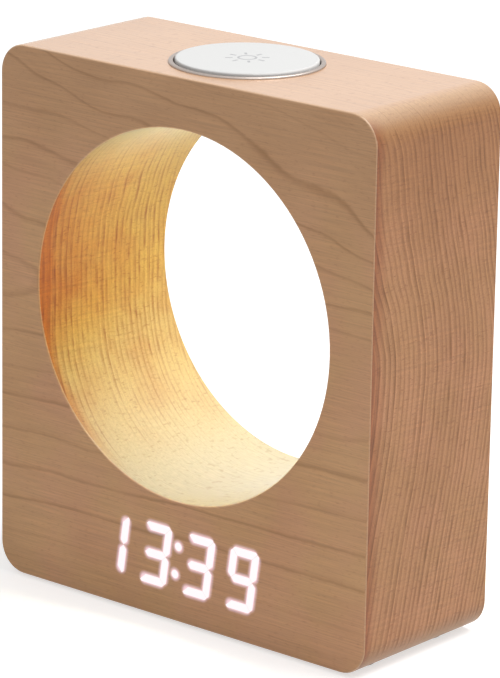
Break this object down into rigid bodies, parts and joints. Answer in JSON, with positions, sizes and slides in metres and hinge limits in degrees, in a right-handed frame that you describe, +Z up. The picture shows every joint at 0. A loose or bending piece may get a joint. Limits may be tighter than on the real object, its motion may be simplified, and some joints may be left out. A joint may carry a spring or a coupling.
{
  "type": "digital clock lamp",
  "caption": "Wooden digital clock with a large round opening lit by a lamp in its ceiling, digits that glow through the wood and a round press button on top.",
  "frame": {"origin": "middle of the outline, on the surface that the foot pads stand on", "axes": "+X to the right seen from the front, +Y to the rear, +Z up; the display faces -Y"},
  "size_m": [0.13, 0.052, 0.1521],
  "materials": {
    "wood": "fine-sanded beech with a thin satin oil",
    "foot_rubber": "moulded silicone pad",
    "ring_aluminium": "turned and satin anodised",
    "cap_white": "moulded white, fine satin",
    "steel": "zinc plated",
    "dark_plastic": "moulded black",
    "button_grey": "moulded dark grey",
    "light_plastic": "moulded natural",
    "lamp_diffuser": "opal diffuser, lit",
    "lamp_light": "warm white emitters",
    "display_light": "white emitters",
    "film_white": "diffusing film",
    "mask_grey": "moulded grey",
    "board_green": "solder-masked glass laminate",
    "board_white": "white solder-masked laminate",
    "ribbon_white": "flat cable",
    "lead_red": "soft insulation",
    "lead_black": "soft insulation"
  },
  "bodies": {
    "case": {"wooden_body": "wood", "rear_panel": "wood", "foot_pads": "foot_rubber", "trim_ring": "ring_aluminium", "panel_screws": "steel", "switch_board_screws": "steel", "lamp_board_screws": "steel", "display_screws": "steel", "main_board_screws": "steel", "top_button_spring": "steel", "usb_shell": "steel", "coin_cell": "steel", "coin_cell_clip": "steel", "clock_crystal": "steel", "top_switch": "dark_plastic", "rear_switches": "dark_plastic", "controller_chip": "dark_plastic", "buzzer": "dark_plastic", "coin_cell_holder": "dark_plastic", "usb_core": "dark_plastic", "ribbon_sockets": "dark_plastic", "button_base": "light_plastic", "board_spacers": "light_plastic", "lead_socket": "light_plastic", "climate_sensor": "light_plastic", "lamp_lens": "lamp_diffuser", "lamp_emitters": "lamp_light", "display_emitters": "display_light", "display_film": "film_white", "segment_mask": "mask_grey", "switch_board": "board_green", "display_board": "board_green", "main_board": "board_green", "lamp_board": "board_white", "display_ribbon": "ribbon_white", "lamp_lead": "lead_red", "button_lead": "lead_black"},
    "top_button": {"top_button_cap": "cap_white", "top_switch_plunger": "dark_plastic"},
    "set_key": {"set_button": "button_grey", "set_switch_plunger": "dark_plastic"},
    "up_key": {"up_button": "button_grey", "up_switch_plunger": "dark_plastic"},
    "down_key": {"down_button": "button_grey", "down_switch_plunger": "dark_plastic"}
  },
  "joints": [
    {"name": "top_button_press", "type": "slide", "parent": "case", "child": "top_button", "axis": [0, 0, -1], "range_m": [0, 0.0005], "stiffness_N_per_m": 1500, "springref_m": -0.001, "deforming": ["top_button_spring"]},
    {"name": "set_key_press", "type": "slide", "parent": "case", "child": "set_key", "axis": [0, -1, 0], "range_m": [0, 0.0004], "stiffness_N_per_m": 600, "springref_m": -0.0005},
    {"name": "up_key_press", "type": "slide", "parent": "case", "child": "up_key", "axis": [0, -1, 0], "range_m": [0, 0.0004], "stiffness_N_per_m": 600, "springref_m": -0.0005},
    {"name": "down_key_press", "type": "slide", "parent": "case", "child": "down_key", "axis": [0, -1, 0], "range_m": [0, 0.0004], "stiffness_N_per_m": 600, "springref_m": -0.0005}
  ]
}
